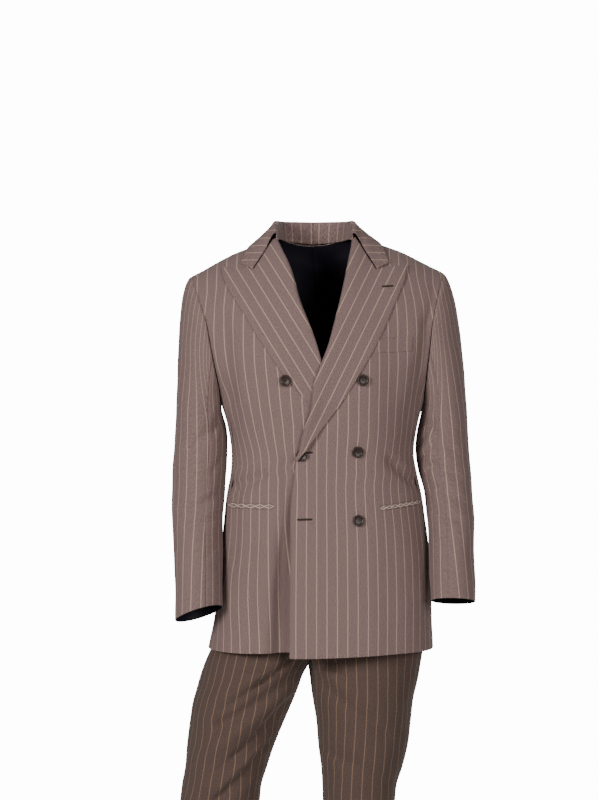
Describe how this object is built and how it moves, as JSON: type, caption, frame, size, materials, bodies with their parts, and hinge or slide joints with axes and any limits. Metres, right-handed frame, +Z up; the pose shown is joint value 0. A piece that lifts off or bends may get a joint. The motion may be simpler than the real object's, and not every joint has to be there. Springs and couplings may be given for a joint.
{
  "type": "double-breasted suit",
  "caption": "Worn double-breasted striped suit, jacket and trousers, hollow, with peak lapels, jetted hip pockets and open cuffs.",
  "frame": {"origin": "between the shoulders, level with the base of the neck, where the wearer's neck and shoulders carry the jacket", "axes": "+Z up, the front faces -Y, +X to the wearer's left"},
  "size_m": [0.5649, 0.2836, 1.5989],
  "materials": {
    "jacket_cloth": "matte worsted with a pale chalk stripe",
    "trouser_cloth": "matte worsted with a pale chalk stripe",
    "horn": "dark horn, satin"
  },
  "bodies": {
    "root": {"front_right": "jacket_cloth", "side_right": "jacket_cloth", "back_right": "jacket_cloth", "lapel_right": "jacket_cloth", "sleeve_top_right": "jacket_cloth", "sleeve_under_right": "jacket_cloth", "trouser_front_right": "trouser_cloth", "trouser_back_right": "trouser_cloth", "front_left": "jacket_cloth", "side_left": "jacket_cloth", "back_left": "jacket_cloth", "lapel_left": "jacket_cloth", "sleeve_top_left": "jacket_cloth", "sleeve_under_left": "jacket_cloth", "trouser_front_left": "trouser_cloth", "trouser_back_left": "trouser_cloth", "collar": "jacket_cloth", "breast_welt": "jacket_cloth", "hip_pocket_right": "jacket_cloth", "hip_pocket_left": "jacket_cloth", "waistband": "trouser_cloth", "fly": "trouser_cloth", "button_top_left": "horn", "button_middle_left": "horn", "button_bottom_left": "horn", "button_top_right": "horn", "button_middle_right": "horn"}
  },
  "joints": []
}
